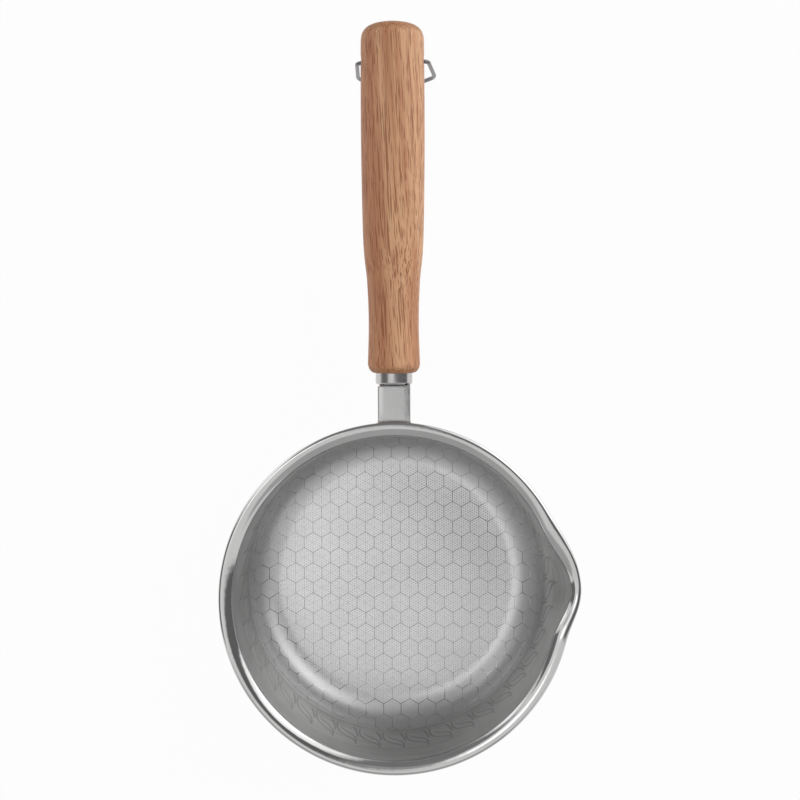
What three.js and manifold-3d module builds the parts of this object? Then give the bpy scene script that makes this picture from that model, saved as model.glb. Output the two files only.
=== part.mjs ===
// A small steel frying pan with one pouring spout, a turned wooden handle and a swinging wire ring.
// Millimetres, +Z up. The origin is the centre of the base where it stands on the stove,
// +Y runs out along the handle and +X points to the spout.

import * as THREE from "three";
import { mergeVertices } from "three/addons/utils/BufferGeometryUtils.js";
import Module from "manifold-3d";

const wasm = await Module();
wasm.setup();

const { degToRad, lerp, smoothstep } = THREE.MathUtils;

// Gap between faces that touch on the real object
const fit = 0.1;

// Bowl: one drawn sheet
const bowlSheet = 1.5;
const floorRadius = 57.6;
const floorFillet = 14.5;
const wallLean = degToRad(2.25);
const wallTopHeight = 61.65;
const bowlSides = 72;
const filletSteps = 5;
const wallStations = [0.35, 0.55, 0.75, 0.9];

// Lip: it flares at a crease and rolls over at its edge. The slope is where each bend ends.
const lipBends = [
  { radius: 1.6, slope: degToRad(40), steps: 1 },
  { radius: 6.5, slope: degToRad(20), steps: 1 },
  { radius: 7.3, slope: 0, steps: 2 },
  { radius: 1.6, slope: degToRad(-60), steps: 2 },
];

// Spout: a channel pulled out of the wall and lip on the +X side
const spoutAngle = degToRad(3.2);
const spoutReachAtWall = 6.3;
const spoutReachAtEdge = 4.8;
const spoutDip = 1.5;
const spoutFarSide = degToRad(18);
const spoutHandleSideAtWall = degToRad(20);
const spoutHandleSideAtEdge = degToRad(28);

// Base: a steel cup over an aluminium disc
const baseHeight = 4;
const capRadius = 56;
const capSheet = 0.6;
const capCorner = 1.5;
const capCornerSteps = 3;

// Bracket: a saddle under the lip that folds into a channel towards the handle
const bracketSheet = 1.5;
const bracketWidth = 15;
const bracketCorner = 1.6;
const bracketInnerCorner = 0.6;
const bracketCornerSteps = 3;
const bracketBend = 6.4;
const bracketBendHeight = 54.9;
const bracketBendSteps = 4;
const cutterReach = 90;
const strapLength = 15.92;
const strapRise = 6.9;
const channelDrop = 6.2;
const saddleWidth = 36;
const saddleBottom = 27;
const saddleTop = 53;
const saddleCorner = 4;
const saddleCornerSteps = 4;

// Spot welds between saddle and wall
const weldRadius = 2.4;
const weldSpread = 12.3;
const weldHeights = [33, 46.5];
const weldSides = 16;

// Handle: a turned wooden grip on a bolt, tilted up from the bracket
const handleTilt = degToRad(4);
const gripLength = 156.9;
const gripFrontRadius = 12;
const gripFrontCorner = 3.2;
const gripFrontRise = 4.5;
const gripEndRadius = 14.35;
const gripDome = 10.5;
const gripDomePower = 3.8;
const gripSides = 32;
const gripDomeSteps = 6;
const gripCornerSteps = 4;
const gripBodySteps = 14;
// Radius along the length between the front corner and the dome
const gripBody = [
  [gripFrontRadius, gripFrontRise],
  [11.5, 23.5],
  [12.1, 41.5],
  [13.5, 55.5],
  [14.1, 73.5],
  [14.5, 109.5],
  [gripEndRadius, gripLength - gripDome],
];

// Ferrule and bolt inside the joint between bracket and grip
const ferruleRadius = 8.5;
const ferruleLength = 5.3;
const ferruleSeat = 3;
const ferruleWall = 1;
const ferruleChamfer = 1.4;
const boltRadius = 3;
const boltHeadFlats = 10;
const boltHeadHeight = 4;
const boltReach = 30;
const insertRadius = 4.8;
const insertEnd = 24;
const boreEnd = 34;
const boreTip = 2;
const washerThickness = 1.5;
const washerRadius = 5.2;
const washerSplit = degToRad(9);
const fastenerSides = 24;

// Hanging ring: one wire whose ends meet inside the cross hole
const wireRadius = 0.95;
const wireSides = 8;
const wireSteps = 80;
const wireButtGap = 0.4;
const crossHoleRadius = 2.8;
const crossHoleAlong = 140.8;
const crossHoleSides = 20;
const ringTopHalf = 15.9;
const ringShoulderHalf = 18.3;
const ringShoulderDrop = 24.5;
const ringApexDrop = 46;
const ringTopCorner = 3;
const ringShoulderCorner = 3.5;
const ringApexCorner = 9;
const ringRoll = degToRad(4);
const ringSlack = new THREE.Vector3(0, -0.3, -0.4);

// Materials
const satinSteel = new THREE.MeshStandardMaterial({ color: "#b4b4b2", roughness: 0.38, metalness: 1 });
const brightSteel = new THREE.MeshStandardMaterial({ color: "#c9c9c8", roughness: 0.15, metalness: 1 });
const capSteel = new THREE.MeshStandardMaterial({ color: "#a9a9a8", roughness: 0.45, metalness: 1 });
const aluminium = new THREE.MeshStandardMaterial({ color: "#c6c7c9", roughness: 0.5, metalness: 1 });
const zincSteel = new THREE.MeshStandardMaterial({ color: "#a5a7aa", roughness: 0.4, metalness: 1 });
const brass = new THREE.MeshStandardMaterial({ color: "#b89a55", roughness: 0.35, metalness: 1 });
const wood = new THREE.MeshStandardMaterial({ color: "#b07f58", roughness: 0.6, metalness: 0 });

// A closed geometry as a solid that can be joined and cut. Faces that collapse on an axis are left out.
function solidFrom(geometry) {
  const bare = geometry.clone();
  bare.deleteAttribute("normal");
  bare.deleteAttribute("uv");
  const merged = mergeVertices(bare);
  const corners = merged.index.array;
  const triangles = [];
  for (let i = 0; i < corners.length; i += 3) {
    const face = [corners[i], corners[i + 1], corners[i + 2]];
    if (new Set(face).size === 3) triangles.push(...face);
  }
  const vertProperties = merged.attributes.position.array;
  const triVerts = new Uint32Array(triangles);
  return new wasm.Manifold(new wasm.Mesh({ numProp: 3, vertProperties, triVerts }));
}

function geometryFrom(solid) {
  const mesh = solid.getMesh();
  const geometry = new THREE.BufferGeometry();
  geometry.setAttribute("position", new THREE.BufferAttribute(mesh.vertProperties, 3));
  geometry.setIndex(new THREE.BufferAttribute(mesh.triVerts, 1));
  geometry.computeVertexNormals();
  return geometry;
}

function named(name, geometry, material) {
  const mesh = new THREE.Mesh(geometry, material);
  mesh.name = name;
  return mesh;
}

function points(pairs) {
  return pairs.map(([x, y]) => new THREE.Vector2(x, y));
}

// A body turned about the vertical pan axis, from profile points of radius and height
function turnedAboutZ(profile, sides) {
  return new THREE.LatheGeometry(profile, sides).rotateX(Math.PI / 2);
}

// Profile arc whose direction climbs at the angles from start to end. A negative radius curls outwards.
function climbingArc(centre, radius, start, end, steps) {
  const arc = [];
  for (let i = 0; i <= steps; i++) {
    const angle = lerp(start, end, i / steps);
    arc.push(new THREE.Vector2(centre.x + radius * Math.sin(angle), centre.y - radius * Math.cos(angle)));
  }
  return arc;
}

function climbing(angle) {
  return new THREE.Vector2(Math.cos(angle), Math.sin(angle));
}

// Levels of the bowl that follow from its driving dimensions
const wallClimb = Math.PI / 2 - wallLean;
const wallOutward = new THREE.Vector2(Math.cos(wallLean), -Math.sin(wallLean));
const filletCentre = new THREE.Vector2(floorRadius, baseHeight + bowlSheet + floorFillet);
const wallFoot = climbingArc(filletCentre, floorFillet, 0, wallClimb, 1)[1];
const wallTopRadius = wallFoot.x + (wallTopHeight - wallFoot.y) * Math.tan(wallLean);
const wallTop = new THREE.Vector2(wallTopRadius, wallTopHeight);
const lipPoints = lipBends.reduce((count, bend) => count + bend.steps, 0);

// Radius of the wall at a height, on a surface that lies further out than the inside by the offset
function wallRadius(height, offset) {
  return wallTop.x + (height - wallTop.y) * Math.tan(wallLean) + offset / Math.cos(wallLean);
}

// One face of the lip from the top of the wall. Each bend curls outwards about its own centre.
function lipFace(offset) {
  const face = [];
  let slope = wallClimb;
  let place = wallTop;
  for (const bend of lipBends) {
    const centre = place.clone().addScaledVector(climbing(slope - Math.PI / 2), bend.radius);
    const arc = climbingArc(centre, offset - bend.radius, slope, bend.slope, bend.steps);
    face.push(...arc.slice(face.length ? 1 : 0));
    place = climbingArc(centre, -bend.radius, slope, bend.slope, 1)[1];
    slope = bend.slope;
  }
  return face;
}

// One face of the bowl from the axis to the lip edge. The offset is 0 inside and the sheet outside.
function bowlFace(offset) {
  const fillet = climbingArc(filletCentre, floorFillet + offset, 0, wallClimb, filletSteps);
  const lip = lipFace(offset);
  const wall = wallStations.map((share) => fillet[filletSteps].clone().lerp(lip[0], share));
  const centre = new THREE.Vector2(0, fillet[0].y);
  return [centre, ...fillet, ...wall, ...lip];
}

// How far the spout is drawn out at each point of a bowl face, and how much of that point is lip
function spoutStations() {
  const still = { climb: 0, lip: 0 };
  const wall = wallStations.map((share) => ({ climb: smoothstep(share, wallStations[0], 1), lip: 0 }));
  const lip = [];
  for (let i = 0; i <= lipPoints; i++) lip.push({ climb: 1, lip: i / lipPoints });
  return [...Array(filletSteps + 2).fill(still), ...wall, ...lip];
}

function drawOutSpout(geometry, stations) {
  const positions = geometry.attributes.position;
  const place = new THREE.Vector3();
  for (let i = 0; i < positions.count; i++) {
    const { climb, lip } = stations[i % stations.length];
    if (climb === 0) continue;
    place.fromBufferAttribute(positions, i);
    const turn = Math.atan2(place.y, place.x) - spoutAngle;
    const handleSide = lerp(spoutHandleSideAtWall, spoutHandleSideAtEdge, lip);
    const halfWidth = turn > 0 ? handleSide : spoutFarSide;
    if (Math.abs(turn) >= halfWidth) continue;
    const swell = (climb * (1 + Math.cos((Math.PI * turn) / halfWidth))) / 2;
    const radius = Math.hypot(place.x, place.y);
    const reach = lerp(spoutReachAtWall, spoutReachAtEdge, lip) * swell;
    const stretch = (radius + reach) / radius;
    positions.setXYZ(i, place.x * stretch, place.y * stretch, place.z - spoutDip * swell);
  }
}

function panShell() {
  const outside = bowlFace(bowlSheet);
  const inside = bowlFace(0);
  const stations = spoutStations();
  const geometry = turnedAboutZ([...outside, ...inside.reverse()], bowlSides);
  drawOutSpout(geometry, [...stations, ...stations.toReversed()]);
  return named("pan_shell", geometry, satinSteel);
}

function baseCoreDisc() {
  const radius = capRadius - capSheet - fit;
  const bottom = capSheet + fit;
  const top = baseHeight - fit;
  const profile = points([[0, bottom], [radius, bottom], [radius, top], [0, top]]);
  return named("base_core_disc", turnedAboutZ(profile, bowlSides), aluminium);
}

function baseCap() {
  const inner = capRadius - capSheet;
  const top = baseHeight - fit;
  const cornerCentre = new THREE.Vector2(capRadius - capCorner, capCorner);
  const corner = climbingArc(cornerCentre, capCorner, 0, Math.PI / 2, capCornerSteps);
  const rim = points([[capRadius, top], [inner, top], [inner, capSheet], [0, capSheet]]);
  const profile = [new THREE.Vector2(0, 0), ...corner, ...rim];
  return named("base_cap", turnedAboutZ(profile, bowlSides), capSteel);
}

// The bend that turns the saddle, which hugs the wall, into the strap along the handle
const saddleGap = bowlSheet + fit;
const bendStart = new THREE.Vector2(wallRadius(bracketBendHeight, saddleGap), bracketBendHeight);
const bendCentre = bendStart.clone().addScaledVector(wallOutward, bracketBend);
const strapStart = climbingArc(bendCentre, -bracketBend, wallClimb, handleTilt, 1)[1];

// The middle of the grip's front face, and the frame in which local +Y runs along the grip
const gripFront = strapStart
  .clone()
  .addScaledVector(climbing(handleTilt), strapLength + fit + ferruleLength)
  .addScaledVector(climbing(handleTilt + Math.PI / 2), -strapRise);
const gripFrame = new THREE.Matrix4()
  .makeTranslation(0, gripFront.x, gripFront.y)
  .multiply(new THREE.Matrix4().makeRotationX(handleTilt));

// Bent sheet of the saddle and the fold, all round the pan, before its outline is cut
function saddleRing() {
  const face = (offset) => [
    new THREE.Vector2(wallRadius(0, saddleGap + offset), 0),
    ...climbingArc(bendCentre, offset - bracketBend, wallClimb, handleTilt, bracketBendSteps),
  ];
  const outside = face(bracketSheet);
  const inside = face(0).reverse();
  return solidFrom(turnedAboutZ([...outside, ...inside, outside[0].clone()], bowlSides));
}

// All the space that the wall, the lip and the fold's hollow side take up
function spaceInsideFold() {
  const fold = climbingArc(bendCentre, -bracketBend, wallClimb, handleTilt, bracketBendSteps);
  const profile = [
    new THREE.Vector2(0, 0),
    new THREE.Vector2(wallRadius(0, saddleGap), 0),
    ...fold,
    new THREE.Vector2(strapStart.x, cutterReach),
    new THREE.Vector2(0, cutterReach),
  ];
  return solidFrom(turnedAboutZ(profile, bowlSides));
}

// Outline of the saddle seen from the handle, with the narrow neck above it, run through the wall along Y
function saddleOutline() {
  const half = saddleWidth / 2;
  const neck = bracketWidth / 2;
  const shape = new THREE.Shape();
  shape.moveTo(-half + saddleCorner, saddleBottom);
  shape.lineTo(half - saddleCorner, saddleBottom);
  shape.absarc(half - saddleCorner, saddleBottom + saddleCorner, saddleCorner, -Math.PI / 2, 0);
  shape.absarc(half - saddleCorner, saddleTop - saddleCorner, saddleCorner, 0, Math.PI / 2);
  shape.lineTo(neck, saddleTop);
  shape.lineTo(neck, cutterReach);
  shape.lineTo(-neck, cutterReach);
  shape.lineTo(-neck, saddleTop);
  shape.absarc(-half + saddleCorner, saddleTop - saddleCorner, saddleCorner, Math.PI / 2, Math.PI);
  shape.absarc(-half + saddleCorner, saddleBottom + saddleCorner, saddleCorner, Math.PI, 1.5 * Math.PI);
  const depth = 2 * cutterReach;
  const run = { depth, bevelEnabled: false, curveSegments: saddleCornerSteps };
  const geometry = new THREE.ExtrudeGeometry(shape, run);
  return solidFrom(geometry.rotateX(Math.PI / 2).translate(0, depth, 0));
}

// Section across the channel with rounded upper corners: the open U, or filled for the end tab
function channelSection(filled) {
  const half = bracketWidth / 2;
  const shape = new THREE.Shape();
  shape.moveTo(half, -channelDrop);
  shape.absarc(half - bracketCorner, strapRise - bracketCorner, bracketCorner, 0, Math.PI / 2);
  shape.absarc(bracketCorner - half, strapRise - bracketCorner, bracketCorner, Math.PI / 2, Math.PI);
  shape.lineTo(-half, -channelDrop);
  if (filled) return shape;
  const inner = half - bracketSheet;
  const roof = strapRise - bracketSheet;
  const corner = bracketInnerCorner;
  shape.lineTo(-inner, -channelDrop);
  shape.absarc(corner - inner, roof - corner, corner, Math.PI, Math.PI / 2, true);
  shape.absarc(inner - corner, roof - corner, corner, Math.PI / 2, 0, true);
  shape.lineTo(inner, -channelDrop);
  return shape;
}

// A section run along the grip's local Y axis between two places
function runAlongGrip(shape, start, end, curveSegments) {
  const run = { depth: end - start, bevelEnabled: false, curveSegments };
  return new THREE.ExtrudeGeometry(shape, run).rotateX(Math.PI / 2).translate(0, end, 0);
}

// Where each spot weld sits: its axis points straight out of the wall
function weldFrame(side, height) {
  const radius = wallRadius(height, bowlSheet + fit / 2);
  const turn = Math.asin(weldSpread / radius) * side;
  return new THREE.Matrix4()
    .makeRotationZ(turn)
    .multiply(new THREE.Matrix4().makeTranslation(0, radius, height))
    .multiply(new THREE.Matrix4().makeRotationX(-wallLean));
}

// A round cutter, long enough to go through the bracket's sheet from either side
function drill(radius, sides) {
  return new THREE.CylinderGeometry(radius, radius, 4 * bracketSheet, sides);
}

const weldFrames = weldHeights.flatMap((height) => [-1, 1].map((side) => weldFrame(side, height)));

function handleBracket() {
  const tabBack = -ferruleLength - fit;
  const channelFront = tabBack - strapLength - 2 * bracketBend;
  const channel = runAlongGrip(channelSection(false), channelFront, tabBack, bracketCornerSteps);
  const tab = runAlongGrip(channelSection(true), tabBack - bracketSheet, tabBack, bracketCornerSteps);
  const boltHole = drill(boltRadius + fit, fastenerSides).translate(0, tabBack, 0);
  let bracket = solidFrom(channel.applyMatrix4(gripFrame));
  bracket = bracket.add(solidFrom(tab.applyMatrix4(gripFrame)));
  bracket = bracket.subtract(solidFrom(boltHole.applyMatrix4(gripFrame)));
  bracket = bracket.subtract(spaceInsideFold());
  bracket = bracket.add(saddleRing().intersect(saddleOutline()));
  for (const frame of weldFrames) {
    const hole = drill(weldRadius + fit, weldSides);
    bracket = bracket.subtract(solidFrom(hole.applyMatrix4(frame)));
  }
  return named("handle_bracket", geometryFrom(bracket), satinSteel);
}

function spotWelds() {
  return weldFrames.map((frame, index) => {
    const geometry = new THREE.CylinderGeometry(weldRadius, weldRadius, bracketSheet, weldSides);
    const weld = named(`spot_weld_${index + 1}`, geometry.translate(0, bracketSheet / 2, 0), satinSteel);
    weld.applyMatrix4(frame);
    return weld;
  });
}

function ferrule() {
  const front = -ferruleLength;
  const inner = ferruleRadius - ferruleWall;
  const bore = boltRadius + fit;
  const profile = points([
    [bore, front],
    [ferruleRadius - ferruleChamfer, front],
    [ferruleRadius, front + ferruleChamfer],
    [ferruleRadius, ferruleSeat],
    [inner, ferruleSeat],
    [inner, front + ferruleWall],
    [bore, front + ferruleWall],
    [bore, front],
  ]);
  return named("ferrule", new THREE.LatheGeometry(profile, gripSides), brightSteel);
}

// The bolt runs back from its head in the channel through tab and ferrule into the insert
const washerBack = -ferruleLength - 2 * fit - bracketSheet;
const headBack = washerBack - washerThickness - fit;

function handleBolt() {
  const headRadius = boltHeadFlats / Math.sqrt(3);
  const head = new THREE.CylinderGeometry(headRadius, headRadius, boltHeadHeight, 6).rotateY(Math.PI / 6);
  head.translate(0, headBack - boltHeadHeight / 2, 0);
  const shankStart = headBack - boltHeadHeight / 2;
  const shankLength = boltReach - shankStart;
  const shank = new THREE.CylinderGeometry(boltRadius, boltRadius, shankLength, fastenerSides);
  shank.translate(0, shankStart + shankLength / 2, 0);
  return named("handle_bolt", geometryFrom(solidFrom(head).add(solidFrom(shank))), zincSteel);
}

function lockWasher() {
  const shape = new THREE.Shape();
  const bore = boltRadius + 2 * fit;
  shape.absarc(0, 0, washerRadius, washerSplit, 2 * Math.PI - washerSplit);
  shape.absarc(0, 0, bore, 2 * Math.PI - washerSplit, washerSplit, true);
  const geometry = runAlongGrip(shape, washerBack - washerThickness, washerBack, fastenerSides / 2);
  return named("lock_washer", geometry, zincSteel);
}

function threadedInsert() {
  const bore = boltRadius + fit;
  const front = ferruleSeat + fit;
  const profile = points([
    [bore, front],
    [insertRadius, front],
    [insertRadius, insertEnd],
    [bore, insertEnd],
    [bore, front],
  ]);
  return named("threaded_insert", new THREE.LatheGeometry(profile, fastenerSides), brass);
}

// Turned outside of the grip: flat front, rounded corner, waist, swell and a blunt domed end
function gripOutside() {
  const quarter = climbingArc(new THREE.Vector2(0, 1), 1, 0, Math.PI / 2, gripCornerSteps);
  const cornerSize = new THREE.Vector2(gripFrontCorner, gripFrontRise);
  const cornerStart = new THREE.Vector2(gripFrontRadius - gripFrontCorner, 0);
  const corner = quarter.map((place) => place.multiply(cornerSize).add(cornerStart));
  const body = new THREE.SplineCurve(points(gripBody)).getPoints(gripBodySteps);
  const dome = [];
  for (let i = 1; i <= gripDomeSteps; i++) {
    const angle = (Math.PI / 2) * (i / gripDomeSteps);
    const across = gripEndRadius * Math.cos(angle) ** (2 / gripDomePower);
    const along = gripDome * Math.sin(angle) ** (2 / gripDomePower);
    dome.push(new THREE.Vector2(i === gripDomeSteps ? 0 : across, gripLength - gripDome + along));
  }
  return [new THREE.Vector2(0, 0), ...corner, ...body.slice(1), ...dome];
}

function handleGrip() {
  const seat = ferruleRadius + fit;
  const boltBore = boltRadius + 2 * fit;
  const bore = points([
    [0, -boreTip],
    [seat, -boreTip],
    [seat, ferruleSeat + fit],
    [insertRadius + fit, ferruleSeat + fit],
    [insertRadius + fit, insertEnd + fit],
    [boltBore, insertEnd + fit],
    [boltBore, boreEnd],
    [0, boreEnd + boreTip],
  ]);
  const drillLength = 4 * gripEndRadius;
  const crossHole = new THREE.CylinderGeometry(crossHoleRadius, crossHoleRadius, drillLength, crossHoleSides);
  crossHole.rotateZ(Math.PI / 2).translate(0, crossHoleAlong, 0);
  const grip = solidFrom(new THREE.LatheGeometry(gripOutside(), gripSides))
    .subtract(solidFrom(new THREE.LatheGeometry(bore, fastenerSides)))
    .subtract(solidFrom(crossHole));
  return named("handle_grip", geometryFrom(grip), wood);
}

// Straight runs joined by rounded corners. Each corner is a place and the length it takes off both runs.
function bentWire(corners) {
  const path = new THREE.CurvePath();
  let from = corners[0].place;
  for (let i = 1; i < corners.length - 1; i++) {
    const { place, trim } = corners[i];
    const before = corners[i - 1].place.clone().sub(place).setLength(trim).add(place);
    const after = corners[i + 1].place.clone().sub(place).setLength(trim).add(place);
    path.add(new THREE.LineCurve3(from, before));
    path.add(new THREE.QuadraticBezierCurve3(before, place, after));
    from = after;
  }
  path.add(new THREE.LineCurve3(from, corners[corners.length - 1].place));
  return path;
}

function hangingRing() {
  const half = [
    { place: new THREE.Vector3(ringTopHalf, 0, 0), trim: ringTopCorner },
    { place: new THREE.Vector3(ringShoulderHalf, 0, -ringShoulderDrop), trim: ringShoulderCorner },
  ];
  const mirrored = half.map(({ place, trim }) => ({ place: place.clone().setX(-place.x), trim }));
  const corners = [
    { place: new THREE.Vector3(wireButtGap / 2, 0, 0) },
    ...half,
    { place: new THREE.Vector3(0, 0, -ringApexDrop), trim: ringApexCorner },
    ...mirrored.reverse(),
    { place: new THREE.Vector3(-wireButtGap / 2, 0, 0) },
  ];
  const section = new THREE.Shape();
  section.absarc(0, 0, wireRadius, 0, 2 * Math.PI);
  const run = { steps: wireSteps, curveSegments: wireSides / 2, extrudePath: bentWire(corners) };
  return named("hanging_ring", new THREE.ExtrudeGeometry(section, run), brightSteel);
}

const handle = new THREE.Group();
handle.applyMatrix4(gripFrame);
handle.add(ferrule(), handleBolt(), lockWasher(), threadedInsert(), handleGrip());

const ring = new THREE.Group();
ring.position.set(0, crossHoleAlong, 0).applyMatrix4(gripFrame).add(ringSlack);
ring.rotation.y = -ringRoll;
ring.add(hangingRing());

const fryingPan = new THREE.Group();
fryingPan.add(panShell(), baseCoreDisc(), baseCap(), handleBracket(), ...spotWelds(), handle, ring);

export default fryingPan;
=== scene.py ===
import math
import bmesh
import bpy
from mathutils import Matrix, Vector


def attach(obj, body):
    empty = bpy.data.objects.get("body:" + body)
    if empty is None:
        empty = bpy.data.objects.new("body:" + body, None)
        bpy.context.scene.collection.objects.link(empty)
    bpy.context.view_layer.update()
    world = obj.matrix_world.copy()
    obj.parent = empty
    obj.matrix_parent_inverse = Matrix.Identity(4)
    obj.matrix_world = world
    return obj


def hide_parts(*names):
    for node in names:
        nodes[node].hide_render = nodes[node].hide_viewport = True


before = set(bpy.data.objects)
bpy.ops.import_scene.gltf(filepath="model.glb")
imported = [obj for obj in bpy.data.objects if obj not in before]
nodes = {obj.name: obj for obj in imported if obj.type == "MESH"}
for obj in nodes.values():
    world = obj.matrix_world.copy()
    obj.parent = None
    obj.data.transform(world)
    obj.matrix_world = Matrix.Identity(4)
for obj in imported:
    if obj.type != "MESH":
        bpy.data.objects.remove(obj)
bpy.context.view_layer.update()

# Lengths are millimetres and angles degrees until finishPiece, which scales each mesh to metres
mm = 0.001
print("frame loaded:", len(nodes), "nodes")


# Small helpers for shader nodes

noiseRange = (0.3, 0.7)    # where most of a noise lies


def put(tree, kind, values=None, **settings):
    node = tree.nodes.new("ShaderNode" + kind)
    for key, value in settings.items():
        setattr(node, key, value)
    for place, value in (values or {}).items():
        if isinstance(value, bpy.types.NodeSocket):
            tree.links.new(value, node.inputs[place])
        else:
            node.inputs[place].default_value = value
    return node


def calc(tree, operation, *values):
    return put(tree, "Math", dict(enumerate(values)), operation=operation).outputs[0]


def times(tree, first, second):
    return calc(tree, "MULTIPLY", first, second)


def measure(tree, operation, *vectors):
    return put(tree, "VectorMath", dict(enumerate(vectors)), operation=operation).outputs["Value"]


def axisOf(tree, vector, axis):
    return put(tree, "SeparateXYZ", {0: vector}).outputs[axis]


def spread(tree, value, low, high, toLow=0.0, toHigh=1.0):
    given = {0: value, 1: low, 2: high, 3: toLow, 4: toHigh}
    return put(tree, "MapRange", given, interpolation_type="SMOOTHSTEP").outputs[0]


def mixColour(tree, share, first, second, blend="MIX"):
    node = put(tree, "Mix", {0: share, 6: first, 7: second}, data_type="RGBA", blend_type=blend)
    return node.outputs[2]


def tinted(red, green, blue):
    return (red, green, blue, 1.0)


def grey(level):
    return tinted(level, level, level)


# Multiplies a colour by a grey that goes from low to high with the share
def shadeBy(tree, colour, share, low, high):
    shade = mixColour(tree, share, grey(low), grey(high))
    return mixColour(tree, 1.0, colour, shade, "MULTIPLY")


def bareMaterial(name):
    material = bpy.data.materials.new(name)
    material.use_nodes = True
    tree = material.node_tree
    tree.nodes.clear()
    return material, tree


def newMaterial(name):
    material, tree = bareMaterial(name)
    shader = put(tree, "BsdfPrincipled")
    put(tree, "OutputMaterial", {"Surface": shader.outputs[0]})
    return material, tree, shader


# Object coordinates in millimetres, stretched and turned for a grain
def placeIn(tree, scale=(1, 1, 1), turn=(0, 0, 0)):
    place = put(tree, "TexCoord").outputs["Object"]
    given = {"Vector": place, "Rotation": [math.radians(a) for a in turn], "Scale": (1 / mm,) * 3}
    inMillimetres = put(tree, "Mapping", given).outputs[0]
    return put(tree, "Mapping", {"Vector": inMillimetres, "Scale": scale}).outputs[0]


def grain(tree, place, scale=1.0, detail=3.0, roughness=0.55, distortion=0.0):
    given = {"Vector": place, "Scale": scale, "Detail": detail}
    given.update({"Roughness": roughness, "Distortion": distortion})
    return put(tree, "TexNoise", given).outputs[0]


def bumpFrom(tree, shader, height, strength, distance):
    bump = put(tree, "Bump", {"Strength": strength, "Distance": distance * mm, "Height": height})
    tree.links.new(bump.outputs[0], shader.inputs["Normal"])
    return bump


def roughFrom(tree, shader, value, middle, vary):
    rough = spread(tree, value, *noiseRange, middle - vary, middle + vary)
    tree.links.new(rough, shader.inputs["Roughness"])


# Steel finishes. What every steel has comes first, and a look's own values go over it.
plainSteel = {"vary": 0.08, "cloudLow": 0.93, "cloudScale": 0.06, "roughVary": 0.06, "bumpDepth": 0.01,
              "bump": 0.02, "brush": (0.6, 0.6, 0.6), "lines": (1.0, 4.0, 0.6), "lineShare": 0.6,
              "ringDrift": 0.02}
steelLooks = {
    # wallSatin carries painted shade: its colour grows darker towards the top of the wall, standing in for
    # the darker reflections there
    "wallSatin": {"tone": (0.6, 0.6, 0.595), "rough": 0.46, "brush": (0.02, 0.02, 1.1), "bump": 0.12,
                  "vary": 0.45, "cloudLow": 0.86, "shadedTop": (38.0, 57.0, 0.89)},
    "lipPolish": {"tone": (0.66, 0.66, 0.655), "rough": 0.07, "roughVary": 0.02,
                  "brush": (0.05, 0.05, 1.2), "vary": 0.03, "wavy": 0.12},
    "outsideBrush": {"tone": (0.60, 0.60, 0.595), "rough": 0.24, "brush": (0.015, 0.015, 4.0),
                     "bump": 0.16},
    "ridgePolish": {"tone": (0.53, 0.53, 0.525), "rough": 0.2, "roughVary": 0.03},
    "beadPolish": {"tone": (0.66, 0.66, 0.655), "rough": 0.3, "roughVary": 0.03},
    "waveEtch": {"tone": (0.37, 0.37, 0.366), "rough": 0.36, "roughVary": 0.04, "bump": 0.04},
    "baseRings": {"tone": (0.52, 0.52, 0.52), "rough": 0.32, "rings": 3.0, "bump": 0.2},
    "bracketSatin": {"tone": (0.67, 0.67, 0.665), "rough": 0.32, "brush": (1.2, 0.2, 1.2)},
    "weldMark": {"tone": (0.46, 0.44, 0.41), "rough": 0.36, "rings": 1.4, "bump": 0.2, "vary": 0.2},
    "zincPlate": {"tone": (0.56, 0.57, 0.60), "rough": 0.34, "brush": (1.5, 1.5, 1.5), "bump": 0.1},
    "ferruleChrome": {"tone": (0.58, 0.56, 0.56), "rough": 0.22, "roughVary": 0.02,
                      "brush": (0.8, 4.0, 0.8), "bump": 0.03, "vary": 0.03},
    "wireBright": {"tone": (0.2, 0.187, 0.187), "rough": 0.28, "roughVary": 0.05,
                   "brush": (0.5, 0.5, 0.5), "bump": 0.06},
    "coreAluminium": {"tone": (0.72, 0.73, 0.74), "rough": 0.42, "rings": 1.5, "bump": 0.12},
    "insertBrass": {"tone": (0.62, 0.45, 0.20), "rough": 0.3, "brush": (1.0, 3.0, 1.0), "bump": 0.12},
}


# Distance from the pan axis as a place, for rings of brushing
def ringPlace(tree, look):
    place = put(tree, "TexCoord").outputs["Object"]
    flat = put(tree, "Mapping", {"Vector": place, "Scale": (1 / mm, 1 / mm, 0)}).outputs[0]
    away = times(tree, measure(tree, "LENGTH", flat), look["rings"])
    slow = put(tree, "SeparateXYZ", {0: placeIn(tree, (look["ringDrift"],) * 3)})
    return put(tree, "CombineXYZ", {0: away, 1: slow.outputs[0], 2: slow.outputs[1]}).outputs[0]


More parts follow.
